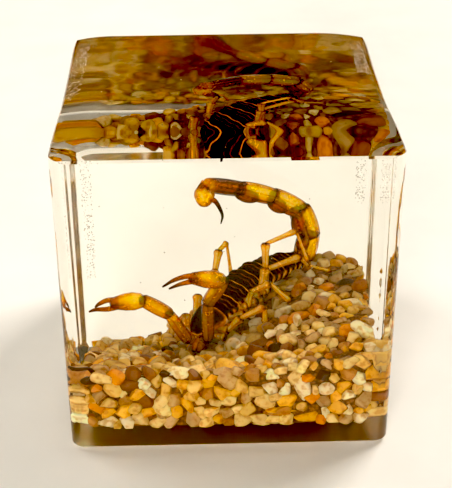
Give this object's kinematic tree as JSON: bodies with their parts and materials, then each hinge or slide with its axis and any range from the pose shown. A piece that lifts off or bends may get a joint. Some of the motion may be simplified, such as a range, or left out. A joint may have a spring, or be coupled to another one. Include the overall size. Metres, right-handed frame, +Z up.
{
  "type": "scorpion in resin block",
  "caption": "Clear cast-resin cube with a crowned, hand-polished top that holds a golden scorpion with raised tail on a sloping bed of gravel.",
  "frame": {"origin": "centre of the block's flat bottom face", "axes": "+Z up through the crowned top, +X to the right and +Y to the back, seen from the face that the scorpion's head points to"},
  "size_m": [0.044, 0.044, 0.0449],
  "materials": {
    "clear_resin": "clear cast resin, polished on all faces",
    "river_gravel": "loose washed quartz gravel, amber to cream",
    "scorpion_shell": "glossy golden shell with a dark brown back"
  },
  "bodies": {
    "root": {"resin_lower_half": "clear_resin", "resin_upper_half": "clear_resin", "gravel_bed": "river_gravel", "scorpion": "scorpion_shell"}
  },
  "joints": []
}
